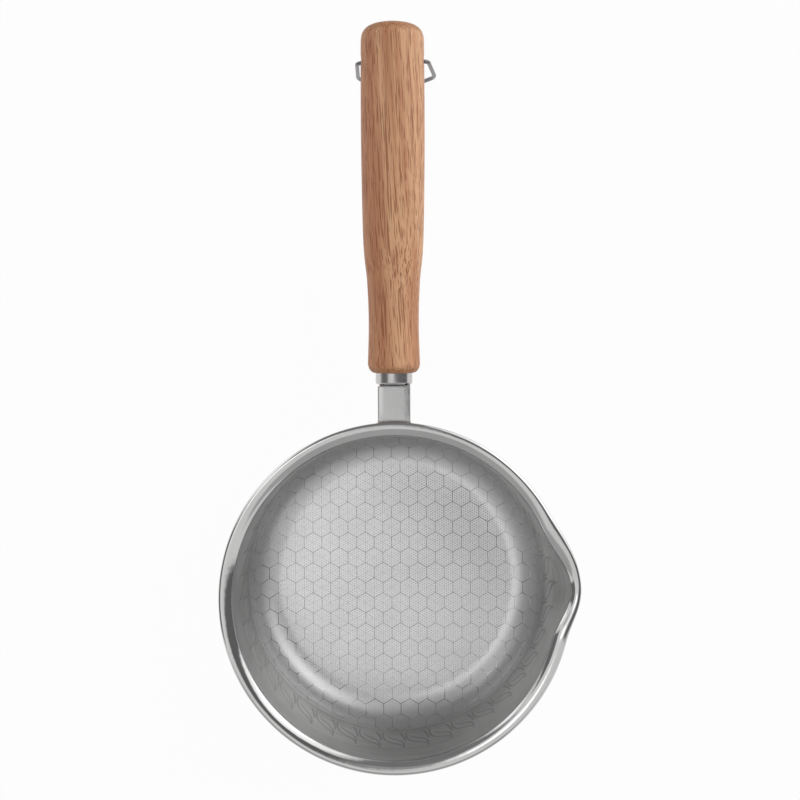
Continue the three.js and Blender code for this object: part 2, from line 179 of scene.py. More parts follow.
def steel(name, ownLook):
    look = {**plainSteel, **ownLook}
    material, tree, shader = newMaterial(name)
    place = ringPlace(tree, look) if "rings" in look else placeIn(tree, look["brush"])
    lines = grain(tree, place, *look["lines"])
    clouds = grain(tree, placeIn(tree), look["cloudScale"])
    low = tinted(*[c * (1 - look["vary"]) for c in look["tone"]])
    high = tinted(*[min(1, c * (1 + look["vary"])) for c in look["tone"]])
    cloudy = spread(tree, clouds, *noiseRange)
    colour = shadeBy(tree, mixColour(tree, lines, low, high), cloudy, look["cloudLow"], 1.0)
    # painted shade: the colour darkens from the start height to the end height, standing in for the darker
    # look high on the wall
    if "shadedTop" in look:
        start, end, topShade = look["shadedTop"]
        climbed = spread(tree, axisOf(tree, placeIn(tree), 2), start, end)
        colour = shadeBy(tree, colour, climbed, 1.0, topShade)
    tree.links.new(colour, shader.inputs["Base Color"])
    shader.inputs["Metallic"].default_value = 1.0
    share = look["lineShare"]
    mixed = calc(tree, "ADD", times(tree, lines, share), times(tree, clouds, 1 - share))
    roughFrom(tree, shader, mixed, look["rough"], look["roughVary"])
    bump = bumpFrom(tree, shader, lines, look["bump"], look["bumpDepth"])
    if "wavy" in look:
        swell = put(tree, "Bump", {"Strength": 1.0, "Distance": look["wavy"] * mm, "Height": clouds})
        tree.links.new(swell.outputs[0], bump.inputs["Normal"])
    return material


finish = {name: steel(name, look) for name, look in steelLooks.items()}


# Etched satin of the cooking floor: rows of dots and faint spokes, laid out on the flat blank
honeycomb = {"pitch": 8.84, "origin": (2.54, 2.99), "ridgeHalf": 0.13, "flank": 0.1, "lift": 0.05,
             "sunk": 0.03, "cuts": 5, "dotRows": 8, "kneeArc": 14.0, "stretch": 0.75, "lineHeight": 20.0,
             "overLine": 0.45, "smooth": 15}
# the spokes' side fade is painted shade: their dark marks are painted stronger on the left and fainter on
# the right
etch = {"tones": (0.86, 0.94), "markTone": 0.55, "clouds": 0.05, "cloudLow": 0.95,
        "fine": (2.6, 3.0, 0.6), "patches": 0.35, "patchShare": 0.4, "dotEdge": (1.0, 2.2),
        "spokeEdge": (0.08, 0.2, 1.0, 0.0), "spokeSideShade": (-35, 35, 0.8, 0.45),
        "markFade": (56, 66, 1.0, 0.35), "drawn": (56, 72), "drawnTone": 0.75,
        "rough": (0.25, 0.75, 0.32, 0.4), "wear": (56, 64, 0.0, 0.1), "markGloss": 0.14,
        "fineHeight": 0.3, "markDepth": 0.8, "bump": (0.12, 0.03)}


def floorSatin():
    material, tree, shader = newMaterial("floorSatin")
    blank = put(tree, "Attribute", attribute_name="blankPlace").outputs["Vector"]
    origin = (*honeycomb["origin"], 0)
    local = put(tree, "VectorMath", {0: blank, 1: origin}, operation="SUBTRACT").outputs[0]
    dotWave = 2 * math.pi * honeycomb["dotRows"] / honeycomb["pitch"]
    dots = 0.0
    spokes = honeycomb["pitch"]
    for angle in (0, 60, 120):
        turned = math.radians(angle)
        across = measure(tree, "DOT_PRODUCT", local, (math.cos(turned), math.sin(turned), 0))
        wave = calc(tree, "COSINE", times(tree, across, dotWave))
        dots = calc(tree, "ADD", wave, dots)
        spokes = calc(tree, "MINIMUM", calc(tree, "PINGPONG", across, honeycomb["pitch"] / 4), spokes)
    patchy = times(tree, grain(tree, placeIn(tree), etch["patches"]), etch["patchShare"])
    dotMask = spread(tree, calc(tree, "ADD", dots, patchy), *etch["dotEdge"])
    spokeMask = spread(tree, spokes, *etch["spokeEdge"])
    # painted shade: the spokes' marks are stronger towards -X and fainter towards +X, standing in for how
    # the light shows their grooves
    spokeShadeShare = spread(tree, axisOf(tree, blank, 0), *etch["spokeSideShade"])
    marks = calc(tree, "MAXIMUM", dotMask, times(tree, spokeMask, spokeShadeShare))
    # past the flat floor the drawn sheet is duller and rougher and its marks are fainter
    reach = measure(tree, "LENGTH", blank)
    marked = times(tree, marks, spread(tree, reach, *etch["markFade"]))
    drawn = spread(tree, reach, *etch["drawn"])
    worn = spread(tree, reach, *etch["wear"])
    fine = grain(tree, placeIn(tree), *etch["fine"])
    clouds = spread(tree, grain(tree, placeIn(tree), etch["clouds"]), *noiseRange)
    base = mixColour(tree, fine, *[grey(tone) for tone in etch["tones"]])
    colour = mixColour(tree, marked, base, grey(etch["markTone"]))
    colour = shadeBy(tree, colour, clouds, etch["cloudLow"], 1.0)
    colour = shadeBy(tree, colour, drawn, 1.0, etch["drawnTone"])
    tree.links.new(colour, shader.inputs["Base Color"])
    shader.inputs["Metallic"].default_value = 1.0
    rough = calc(tree, "ADD", spread(tree, fine, *etch["rough"]), worn)
    rough = calc(tree, "SUBTRACT", rough, times(tree, marked, etch["markGloss"]))
    tree.links.new(rough, shader.inputs["Roughness"])
    raised = times(tree, fine, etch["fineHeight"])
    height = calc(tree, "SUBTRACT", raised, times(tree, marked, etch["markDepth"]))
    bumpFrom(tree, shader, height, *etch["bump"])
    return material


finish["floorSatin"] = floorSatin()


# Oiled hardwood with long reddish streaks and open pores, its grain along the handle
# the side shift is painted light: the wood grows paler towards +X and darker towards -X
wood = {"tilt": 4.0, "grainTurn": -3.0, "sideLightShift": 0.013, "tanRange": (0.34, 0.66),
        "redRange": (0.48, 0.64), "redShare": 0.45, "threadTones": (0.76, 1.22),
        "poreStart": (0.35, 0.65, 0.588, 0.545), "longEdge": (0.0, 0.07), "shortEdge": (0.03, 0.1),
        "poreShare": 0.7, "specks": (0.9, 3.0, 0.7), "speckRange": (0.42, 0.62), "endRange": (0.15, 0.62),
        "rough": (0.5, 0.06), "gloss": 0.35, "threadHeight": 0.35, "bump": (0.35, 0.12)}
woodTone = {"pale": tinted(0.82, 0.470, 0.265), "tan": tinted(0.61, 0.287, 0.149),
            "red": tinted(0.575, 0.226, 0.128), "streak": tinted(0.30, 0.078, 0.026),
            "endPale": tinted(0.55, 0.265, 0.128), "endDark": tinted(0.35, 0.148, 0.067)}
woodLayers = {    # waves per millimetre across and along the grain, detail, distortion
    "bands": (0.16, 0.005, 2.0, 0.5),
    "zones": (0.34, 0.010, 3.0, 0.3),
    "threads": (2.6, 0.03, 3.0, 0.0),
    "longPores": (1.8, 0.034, 1.0, 0.2),
    "shortPores": (2.3, 0.08, 1.0, 0.0),
    "poreZones": (0.22, 0.010, 2.0, 0.0),
}


def handleWood():
    material, tree, shader = newMaterial("handleWood")
    alongGrain = (-wood["tilt"], 0, wood["grainTurn"])
    layer = {}
    for name, (across, along, detail, distortion) in woodLayers.items():
        place = placeIn(tree, (across, along, across), alongGrain)
        layer[name] = grain(tree, place, detail=detail, distortion=distortion)
    # painted light: shifts the mix towards pale on the right (+X) and towards tan on the left, standing in
    # for light from the right
    sideLight = axisOf(tree, placeIn(tree, (wood["sideLightShift"],) * 3), 0)
    toTan = spread(tree, calc(tree, "SUBTRACT", layer["bands"], sideLight), *wood["tanRange"])
    colour = mixColour(tree, toTan, woodTone["pale"], woodTone["tan"])
    toRed = times(tree, spread(tree, layer["zones"], *wood["redRange"]), wood["redShare"])
    colour = mixColour(tree, toRed, colour, woodTone["red"])
    colour = shadeBy(tree, colour, layer["threads"], *wood["threadTones"])
    edge = spread(tree, layer["poreZones"], *wood["poreStart"])
    pores = 0.0
    for kind in ("long", "short"):
        past = calc(tree, "SUBTRACT", layer[kind + "Pores"], edge)
        pores = calc(tree, "MAXIMUM", spread(tree, past, *wood[kind + "Edge"]), pores)
    colour = mixColour(tree, times(tree, pores, wood["poreShare"]), colour, woodTone["streak"])
    # end grain where the surface faces along the handle
    tilt = math.radians(wood["tilt"])
    normal = put(tree, "TexCoord").outputs["Normal"]
    facing = measure(tree, "DOT_PRODUCT", normal, (0, math.cos(tilt), math.sin(tilt)))
    specks = grain(tree, placeIn(tree), *wood["specks"])
    toDark = spread(tree, specks, *wood["speckRange"])
    endColour = mixColour(tree, toDark, woodTone["endPale"], woodTone["endDark"])
    toEnd = spread(tree, calc(tree, "ABSOLUTE", facing), *wood["endRange"])
    tree.links.new(mixColour(tree, toEnd, colour, endColour), shader.inputs["Base Color"])
    roughFrom(tree, shader, layer["threads"], *wood["rough"])
    shader.inputs["Specular IOR Level"].default_value = wood["gloss"]
    raised = times(tree, layer["threads"], wood["threadHeight"])
    bumpFrom(tree, shader, calc(tree, "SUBTRACT", raised, pores), *wood["bump"])
    return material


finish["handleWood"] = handleWood()
print("finishes made:", len(finish))


# Helpers for meshes

mergeGap = 0.002
looseGap = 0.01
shortestEdge = 0.0005
closeBy = 0.05


# Edges from each vertex to the next
def chain(bm, verts):
    return [bm.edges.get(pair) or bm.edges.new(pair) for pair in zip(verts, verts[1:])]


def edgesOf(geometry):
    return [g for g in geometry if isinstance(g, bmesh.types.BMEdge)]


def spinProfile(bm, profile, steps, closed=False):
    verts = [bm.verts.new((across, 0, along)) for across, along in profile]
    edges = chain(bm, verts + verts[:1] if closed else verts)
    bmesh.ops.spin(bm, geom=verts + edges, cent=(0, 0, 0), axis=(0, 0, 1), angle=2 * math.pi, steps=steps,
                   use_merge=True, use_duplicate=False)


# Pulls a line of edges out by a step and gives its new vertices and edges
def pullEdges(bm, edges, step):
    made = bmesh.ops.extrude_edge_only(bm, edges=edges)["geom"]
    moved = [g for g in made if isinstance(g, bmesh.types.BMVert)]
    bmesh.ops.translate(bm, verts=moved, vec=step)
    ends = set(moved)
    return moved, [edge for edge in edgesOf(made) if ends.issuperset(edge.verts)]


def closeUp(bm):
    bmesh.ops.remove_doubles(bm, verts=bm.verts, dist=mergeGap)
    bmesh.ops.dissolve_degenerate(bm, edges=bm.edges, dist=shortestEdge)
    bmesh.ops.recalc_face_normals(bm, faces=bm.faces)


def turnedPiece(profile, steps, closed=False):
    bm = bmesh.new()
    spinProfile(bm, profile, steps, closed)
    closeUp(bm)
    return bm


def newObject(bm, name):
    mesh = bpy.data.meshes.new(name)
    bm.to_mesh(mesh)
    bm.free()
    made = bpy.data.objects.new(name, mesh)
    bpy.context.scene.collection.objects.link(made)
    return made


def finishPiece(bm, name, materials, replaced=(), smooth=30, body="pan", place=Matrix()):
    bmesh.ops.transform(bm, matrix=place, verts=bm.verts)
    bmesh.ops.scale(bm, vec=(mm, mm, mm), verts=bm.verts)
    piece = newObject(bm, name)
    mesh = piece.data
    for material in materials:
        mesh.materials.append(finish[material])
    mesh.polygons.foreach_set("use_smooth", [True] * len(mesh.polygons))
    mesh.set_sharp_from_angle(angle=math.radians(smooth))
    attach(piece, body)
    if replaced:
        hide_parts(*replaced)
    print("piece made:", name, len(mesh.polygons), "faces")
    return piece


# An arc of a profile from a start point, between two slopes. A negative radius curls over.
def slopeArc(start, radius, fromSlope, toSlope, steps):
    a = math.radians(fromSlope)
    centre = (start[0] - radius * math.sin(a), start[1] + radius * math.cos(a))
    points = []
    for i in range(1, steps + 1):
        a = math.radians(fromSlope + (toSlope - fromSlope) * i / steps)
        points.append((centre[0] + radius * math.sin(a), centre[1] - radius * math.cos(a)))
    return points


def lerp(first, second, share):
    return first + (second - first) * share


def blendPoint(first, second, share):
    return tuple(lerp(a, b, share) for a, b in zip(first, second))


def smoothShare(value, low, high):
    share = min(1, max(0, (value - low) / (high - low)))
    return share * share * (3 - 2 * share)


# Bowl: floor, fillet, upright wall and a lip that flares at a crease and rolls over its edge
bowl = {"sheet": 1.5, "baseHeight": 4.0, "floorRadius": 57.6, "fillet": 14.5, "lean": 2.25, "wallTop": 61.65,
        "lipBends": ((1.6, 40), (6.5, 20), (7.3, 0), (1.6, -60)), "lipSteps": (4, 6, 8, 8),
        "floorRings": 6, "filletSteps": 18, "wallSteps": 20, "turns": 240, "smooth": 50}
spout = {"angle": 3.2, "reachAtWall": 6.3, "reachAtEdge": 4.8, "dip": 1.5, "farSide": 18.0,
         "handleSideAtWall": 20.0, "handleSideAtEdge": 28.0, "startShare": 0.35}
wallClimb = 90 - bowl["lean"]
wallLean = math.radians(bowl["lean"])
floorHeight = bowl["baseHeight"] + bowl["sheet"]


# Inside and outside of the bowl as profiles of radius and height
def bowlFace(offset):
    start = (bowl["floorRadius"], floorHeight - offset)
    floor = [(start[0] * i / bowl["floorRings"], start[1]) for i in range(bowl["floorRings"])]
    fillet = slopeArc(start, bowl["fillet"] + offset, 0, wallClimb, bowl["filletSteps"])
    lip = []
    slope = wallClimb
    place = (wallTopRadius + offset * math.cos(wallLean), bowl["wallTop"] - offset * math.sin(wallLean))
    top = place
    for (radius, end), steps in zip(bowl["lipBends"], bowl["lipSteps"]):
        lip += slopeArc(place, offset - radius, slope, end, steps)
        place = lip[-1]
        slope = end
    lineShare = (honeycomb["lineHeight"] - filletEnd[1]) / (bowl["wallTop"] - filletEnd[1])
    shares = sorted([lineShare] + [i / bowl["wallSteps"] for i in range(1, bowl["wallSteps"] + 1)])
    wall = [blendPoint(fillet[-1], top, share) for share in shares]
    return floor + [start] + fillet + wall, lip


filletEnd = slopeArc((bowl["floorRadius"], floorHeight), bowl["fillet"], 0, wallClimb, 1)[0]
wallTopRadius = filletEnd[0] + (bowl["wallTop"] - filletEnd[1]) * math.tan(wallLean)
lipPoints = bowlFace(0)[1]
lipEnd = lipPoints[-1]
polishStart = lipPoints[bowl["lipSteps"][0] - 1][1]


def wallRadius(height, offset):
    return wallTopRadius + (height - bowl["wallTop"]) * math.tan(wallLean) + offset / math.cos(wallLean)


# Pulls a point of the bowl out where the spout is. The offset tells inside from outside.
def drawSpout(co, offset):
    radius = math.hypot(co.x, co.y)
    share = (co.z - filletEnd[1]) / (bowl["wallTop"] - filletEnd[1])
    climb = smoothShare(share, spout["startShare"], 1)
    turn = math.degrees(math.atan2(co.y, co.x)) - spout["angle"]
    lipStart = wallTopRadius + offset * math.cos(wallLean)
    lip = min(1, max(0, (radius - lipStart) / (lipEnd[0] - lipStart)))
    handleSide = lerp(spout["handleSideAtWall"], spout["handleSideAtEdge"], lip)
    halfWidth = handleSide if turn > 0 else spout["farSide"]
    if climb == 0 or abs(turn) >= halfWidth:
        return co
    swell = climb * (1 + math.cos(math.pi * turn / halfWidth)) / 2
    reach = lerp(spout["reachAtWall"], spout["reachAtEdge"], lip) * swell
    stretch = (radius + reach) / radius
    return Vector((co.x * stretch, co.y * stretch, co.z - spout["dip"] * swell))


filletArc = bowl["fillet"] * math.radians(wallClimb)


# How far out a point of the inside lies on the flat blank that the pattern was rolled on
def blankReach(radius, height):
    if radius <= bowl["floorRadius"]:
        return radius
    arc = bowl["fillet"] * math.atan2(radius - bowl["floorRadius"], floorHeight + bowl["fillet"] - height)
    if height > filletEnd[1]:
        arc = filletArc + math.hypot(radius - filletEnd[0], height - filletEnd[1])
    past = max(0, arc - honeycomb["kneeArc"])
    return bowl["floorRadius"] + arc - past * (1 - honeycomb["stretch"])


# The other way: a place on the blank, lifted off the inside of the bowl
def onBowl(u, v, lift):
    reach = math.hypot(u, v)
    angle = math.atan2(v, u)
    arc = max(0, reach - bowl["floorRadius"])
    arc += max(0, arc - honeycomb["kneeArc"]) * (1 / honeycomb["stretch"] - 1)
    slope = min(math.radians(wallClimb), arc / bowl["fillet"])
    radius = min(reach, bowl["floorRadius"]) + bowl["fillet"] * math.sin(slope)
    height = floorHeight + bowl["fillet"] * (1 - math.cos(slope))
    climbed = max(0, arc - filletArc)
    radius += climbed * math.cos(slope) - lift * math.sin(slope)
    height += climbed * math.sin(slope) + lift * math.cos(slope)
    return Vector((radius * math.cos(angle), radius * math.sin(angle), height))


lineReach = blankReach(wallRadius(honeycomb["lineHeight"], 0), honeycomb["lineHeight"])


def panBowl():
    bm = bmesh.new()
    blank = bm.verts.layers.float_vector.new("blankPlace")
    for offset in (0, bowl["sheet"]):
        below, lip = bowlFace(offset)
        oldVerts = set(bm.verts)
        oldFaces = set(bm.faces)
        spinProfile(bm, below + lip + ([lipEnd] if offset else []), bowl["turns"])
        for face in set(bm.faces) - oldFaces:
            height = face.calc_center_median().z
            inside = 0 if height < honeycomb["lineHeight"] else 1
            face.material_index = 2 if height > polishStart - offset else 3 if offset else inside
        for vert in set(bm.verts) - oldVerts:
            radius = math.hypot(vert.co.x, vert.co.y)
            if not offset and radius > 0:
                vert[blank] = Vector((vert.co.x, vert.co.y, 0)) * (blankReach(radius, vert.co.z) / radius)
            vert.co = drawSpout(vert.co, offset)
    closeUp(bm)
    materials = ("floorSatin", "wallSatin", "lipPolish", "outsideBrush")
    finishPiece(bm, "panBowl", materials, ["pan_shell"], bowl["smooth"])


panBowl()


# Raised honeycomb of polished ridges, made flat as a net of hexagons and then laid on the bowl
def honeycombRidges():
    bm = bmesh.new()
    pitch = honeycomb["pitch"]
    rowPitch = pitch * math.sqrt(3) / 2
    cornerRadius = pitch / math.sqrt(3)
    rows = math.ceil(lineReach / rowPitch) + 1
    for row in range(-rows, rows + 1):
        for column in range(-rows, rows + 1):
            x = honeycomb["origin"][0] + pitch * (column + 0.5 * (row % 2))
            y = honeycomb["origin"][1] + rowPitch * row
            if math.hypot(x, y) < lineReach + pitch * honeycomb["overLine"]:
                place = Matrix.Translation((x, y, 0))
                bmesh.ops.create_circle(bm, cap_ends=True, segments=6, radius=cornerRadius, matrix=place)
    bmesh.ops.remove_doubles(bm, verts=bm.verts, dist=looseGap)
    bmesh.ops.subdivide_edges(bm, edges=bm.edges, cuts=honeycomb["cuts"])
    cells = list(bm.faces)
    bmesh.ops.inset_individual(bm, faces=cells, thickness=honeycomb["ridgeHalf"], use_even_offset=True)
    crest = set(bm.verts)
    bmesh.ops.inset_individual(bm, faces=cells, thickness=honeycomb["flank"], use_even_offset=True)
    bmesh.ops.delete(bm, geom=cells, context="FACES")
    outside = [f for f in bm.faces if min(v.co.xy.length for v in f.verts) >= lineReach]
    bmesh.ops.delete(bm, geom=outside, context="FACES")
    for vert in bm.verts:
        flat = vert.co.xy
        flat *= min(1, lineReach / flat.length)
        vert.co = onBowl(flat.x, flat.y, honeycomb["lift"] if vert in crest else -honeycomb["sunk"])
    bmesh.ops.dissolve_degenerate(bm, edges=bm.edges, dist=shortestEdge)
    bmesh.ops.recalc_face_normals(bm, faces=bm.faces)
    if sum(f.normal.z for f in bm.faces) < 0:
        bmesh.ops.reverse_faces(bm, faces=bm.faces)
    finishPiece(bm, "honeycombRidges", ["ridgePolish"], (), honeycomb["smooth"])


honeycombRidges()


# Ornament on the wall above the honeycomb: a bead, then a row of leaning waves in thin raised lines
waves = {"count": 40, "startAngle": 264.85, "foot": 24.0, "top": 47.2, "half": 0.42, "flank": 0.16,
         "lift": 0.06, "sunk": 0.03, "steps": 16, "tip": 0.3, "tipGrowth": 4, "probe": 0.01,
         "beadHalf": 0.4, "beadLift": 0.16, "smooth": 15,
         "strokes": (((0.02, 0), (-0.12, 0.92), (0.88, 0.5), (0.92, 1)),
                     ((0.92, 1), (1.0, 0.45), (0.55, 0.52), (0.2, 0.3)),
                     ((0.97, 0.6), (0.94, 0.35), (0.86, 0.2), (0.72, 0.05)))}


def onWall(angle, height, lift):
    radius = wallRadius(height, 0) - lift * math.cos(wallLean)
    place = Vector((radius * math.cos(angle), radius * math.sin(angle), height + lift * math.sin(wallLean)))
    return drawSpout(place, 0)


def bezierPoint(points, t):
    weights = ((1 - t) ** 3, 3 * t * (1 - t) ** 2, 3 * t * t * (1 - t), t ** 3)
    return Vector([sum(w * q[axis] for w, q in zip(weights, points)) for axis in (0, 1)])


def wallWaves():
    bm = bmesh.new()
    pitch = 2 * math.pi / waves["count"]
    size = Vector((pitch * wallRadius(waves["foot"], 0), waves["top"] - waves["foot"]))
    edge = waves["half"] + waves["flank"]
    across = (-edge, -waves["half"], waves["half"], edge)
    lifts = (-waves["sunk"], waves["lift"], waves["lift"], -waves["sunk"])
    probe = waves["probe"]
    for number in range(waves["count"]):
        for stroke in waves["strokes"]:
            grid = bmesh.ops.create_grid(bm, x_segments=waves["steps"], y_segments=3, size=0.5)["verts"]
            for vert in grid:
                t = vert.co.x + 0.5
                row = round((vert.co.y + 0.5) * 3)
                ahead = (bezierPoint(stroke, t + probe) - bezierPoint(stroke, t - probe)) * size
                ahead.normalize()
                taper = min(1, waves["tip"] + waves["tipGrowth"] * min(t, 1 - t))
                flat = bezierPoint(stroke, t) * size + Vector((-ahead.y, ahead.x)) * across[row] * taper
                angle = math.radians(waves["startAngle"]) + pitch * (number + flat.x / size.x)
                vert.co = onWall(angle, waves["foot"] + flat.y, lifts[row])
    old = set(bm.verts)
    line = honeycomb["lineHeight"]
    foot = line - waves["beadHalf"]
    top = line + waves["beadHalf"]
    crest = (wallRadius(line, 0) - waves["beadLift"], line)
    spinProfile(bm, [(wallRadius(foot, 0), foot), crest, (wallRadius(top, 0), top)], bowl["turns"])
    for vert in set(bm.verts) - old:
        vert.co = drawSpout(vert.co, 0)
    for face in bm.faces:
        face.material_index = 0 if old.issuperset(face.verts) else 1
        centre = face.calc_center_median()
        face.normal_update()
        if face.normal.xy.dot(centre.xy) > 0:
            face.normal_flip()
    finishPiece(bm, "wallWaves", ["waveEtch", "beadPolish"], (), waves["smooth"])


wallWaves()


# Base cap with a rounded corner, and two shallow steps that stiffen its flat
baseCap = {"radius": 56.0, "corner": 1.5, "cornerSteps": 5, "sheet": 0.6, "gap": 0.1,
           "stepRadii": (20.0, 38.0), "stepWidth": 0.7, "stepDepth": 0.15, "turns": 192, "smooth": 40}


def baseCapPiece():
    step = baseCap["stepWidth"] / 2
    profile = [(0, 0)]
    for radius in baseCap["stepRadii"]:
        profile += [(radius - step, 0), (radius, baseCap["stepDepth"]), (radius + step, 0)]
    corner = (baseCap["radius"] - baseCap["corner"], 0)
    profile += [corner] + slopeArc(corner, baseCap["corner"], 0, 90, baseCap["cornerSteps"])
    top = bowl["baseHeight"] - baseCap["gap"]
    inner = baseCap["radius"] - baseCap["sheet"]
    profile += [(baseCap["radius"], top), (inner, top), (inner, baseCap["sheet"]), (0, baseCap["sheet"])]
    bm = turnedPiece(profile, baseCap["turns"])
    finishPiece(bm, "baseCap", ["baseRings"], ["base_cap"], baseCap["smooth"])


baseCapPiece()


# Where the handle starts: the bracket folds off the wall and runs out to the grip
bracket = {"sheet": 1.5, "gap": 0.1, "bend": 6.4, "bendHeight": 54.9, "strapLength": 15.92, "strapRise": 6.9,
           "width": 15.0, "corner": 0.9, "drop": 6.2, "endBend": 0.9, "flangeShoulder": 4.0,
           "flangeGap": 0.3, "flangeGrowth": {-1: 0.0, 1: 1.5}, "saddleWidth": 36.0, "saddleTop": 53.0,
           "saddleRows": (50, 46, 42, 38, 34, 30), "saddleBottom": 27.0, "saddleCorner": 4.0,
           "wrapEase": 4.0, "columns": 6, "endSteps": 6, "strapSteps": 5, "foldSteps": 8, "cornerSteps": 4,
           "wingSteps": 3, "softEdge": 0.25, "softSegments": 2, "softAngle": 50, "smooth": 35}
handle = {"tilt": wood["tilt"], "ferruleLength": 5.3}
saddleGap = bowl["sheet"] + bracket["gap"]
bendStart = (wallRadius(bracket["bendHeight"], saddleGap), bracket["bendHeight"])
strapStart = slopeArc(bendStart, -bracket["bend"], wallClimb, handle["tilt"], 1)[0]
tilt = math.radians(handle["tilt"])
runOut = bracket["strapLength"] + bracket["gap"] + handle["ferruleLength"]
gripFront = (strapStart[0] + runOut * math.cos(tilt) + bracket["strapRise"] * math.sin(tilt),
             strapStart[1] + runOut * math.sin(tilt) - bracket["strapRise"] * math.cos(tilt))
gripFrame = Matrix.Translation((0, *gripFront)) @ Matrix.Rotation(tilt, 4, "X")
turnedFrame = gripFrame @ Matrix.Rotation(-math.pi / 2, 4, "X")


# Grip: waist, swell and blunt dome, with the stepped bore and a cross hole for the ring
grip = {"length": 156.9, "frontRadius": 12.0, "frontCorner": 3.2, "frontRise": 4.5, "cornerSteps": 8,
        "endRadius": 14.35, "dome": 10.5, "domePower": 3.8, "domeSteps": 14, "turns": 96, "steps": 44,
        "body": ((11.5, 23.5), (12.1, 41.5), (13.5, 55.5), (14.1, 73.5), (14.5, 109.5)),
        "bore": ((0, 36), (3.2, 34), (3.2, 24.1), (4.9, 24.1), (4.9, 3.1), (8.6, 3.1), (8.6, 0.15),
                 (8.7, 0)),
        "holeRadius": 2.8, "holeAlong": 140.8, "holeSides": 32, "drillLength": 60, "smooth": 40}


# A smooth line through points, as a uniform spline
def splineThrough(points, steps):
    made = []
    last = len(points) - 1
    for i in range(steps + 1):
        place = last * i / steps
        k = min(int(place), last - 1)
        t = place - k
        near = [points[min(last, max(0, k + j))] for j in (-1, 0, 1, 2)]
        weights = (-t + 2 * t * t - t ** 3, 2 - 5 * t * t + 3 * t ** 3,
                   t + 4 * t * t - 3 * t ** 3, t ** 3 - t * t)
        made.append(tuple(0.5 * sum(w * q[axis] for w, q in zip(weights, near)) for axis in (0, 1)))
    return made


def gripProfile():
    corner = (grip["frontRadius"] - grip["frontCorner"], 0)
    domeStart = grip["length"] - grip["dome"]
    keys = [(grip["frontRadius"], grip["frontRise"]), *grip["body"], (grip["endRadius"], domeStart)]
    profile = list(grip["bore"]) + [corner]
    for x, y in slopeArc((0, 0), 1, 0, 90, grip["cornerSteps"]):
        profile.append((corner[0] + grip["frontCorner"] * x, grip["frontRise"] * y))
    profile += splineThrough(keys, grip["steps"])[1:]
    power = 2 / grip["domePower"]
    last = grip["domeSteps"]
    for i in range(1, last + 1):
        a = math.pi / 2 * i / last
        across = 0 if i == last else grip["endRadius"] * math.cos(a) ** power
        profile.append((across, domeStart + grip["dome"] * math.sin(a) ** power))
    return profile


def handleGrip():
    bm = turnedPiece(gripProfile(), grip["turns"])
    piece = finishPiece(bm, "handleGrip", ["handleWood"], ["handle_grip"], grip["smooth"],
                        place=turnedFrame)
    drill = bmesh.new()
    across = Matrix.Translation((0, grip["holeAlong"], 0)) @ Matrix.Rotation(math.pi / 2, 4, "Y")
    bmesh.ops.create_cone(drill, cap_ends=True, segments=grip["holeSides"], radius1=grip["holeRadius"],
                          radius2=grip["holeRadius"], depth=grip["drillLength"], matrix=gripFrame @ across)
    bmesh.ops.scale(drill, vec=(mm, mm, mm), verts=drill.verts)
    cutter = newObject(drill, "crossDrill")
    cut = piece.modifiers.new("crossHole", "BOOLEAN")
    cut.object = cutter
    cut.solver = "EXACT"
    ready = bpy.context.evaluated_depsgraph_get()
    bored = bpy.data.meshes.new_from_object(piece.evaluated_get(ready))
    piece.modifiers.clear()
    bpy.data.objects.remove(cutter)
    piece.data = bored
    bored.set_sharp_from_angle(angle=math.radians(grip["smooth"]))


handleGrip()


# Ferrule: a bright cup between bracket and grip
ferrule = {"radius": 8.5, "seat": 3.0, "wall": 1.0, "round": 1.2, "roundSteps": 8, "bore": 3.1, "turns": 96}


def ferrulePiece():
    front = -handle["ferruleLength"]
    radius = ferrule["radius"]
    inner = radius - ferrule["wall"]
    floor = front + ferrule["wall"]
    start = (radius - ferrule["round"], front)
    profile = [(ferrule["bore"], front), start]
    profile += [*slopeArc(start, ferrule["round"], 0, 90, ferrule["roundSteps"]), (radius, ferrule["seat"])]
    profile += [(inner, ferrule["seat"]), (inner, floor), (ferrule["bore"], floor)]
    bm = turnedPiece(profile, ferrule["turns"], True)
    finishPiece(bm, "ferruleCup", ["ferruleChrome"], ["ferrule"], place=turnedFrame)


ferrulePiece()


# Bracket as one folded sheet, seen from the side: end tab, strap, fold and saddle
def bracketStrip():
    def besideGrip(y, z):
        return tuple((gripFrame @ Vector((0, y, z))).yz)

    tabBack = -handle["ferruleLength"] - bracket["gap"]
    endBend = bracket["endBend"]
    tabTop = bracket["strapRise"] - endBend
    strip = [besideGrip(tabBack, z) for z in (-bracket["drop"], 0, tabTop)]
    for i in range(1, bracket["endSteps"] + 1):
        a = math.pi / 2 * i / bracket["endSteps"]
        strip.append(besideGrip(tabBack - endBend * (1 - math.cos(a)), tabTop + endBend * math.sin(a)))
    strapEnd = len(strip) - 1
    for i in range(1, bracket["strapSteps"] + 1):
        strip.append(blendPoint(strip[strapEnd], strapStart, i / bracket["strapSteps"]))
    foldStart = len(strip) - 1
    slopes = (180 + handle["tilt"], 180 + wallClimb)
    strip += slopeArc(strapStart, bracket["bend"], *slopes, bracket["foldSteps"])
    saddleStart = len(strip)
    heights = (bracket["saddleTop"], *bracket["saddleRows"], bracket["saddleBottom"])
    strip += [(wallRadius(z, saddleGap), z) for z in heights]
    return strip, strapEnd, foldStart, saddleStart


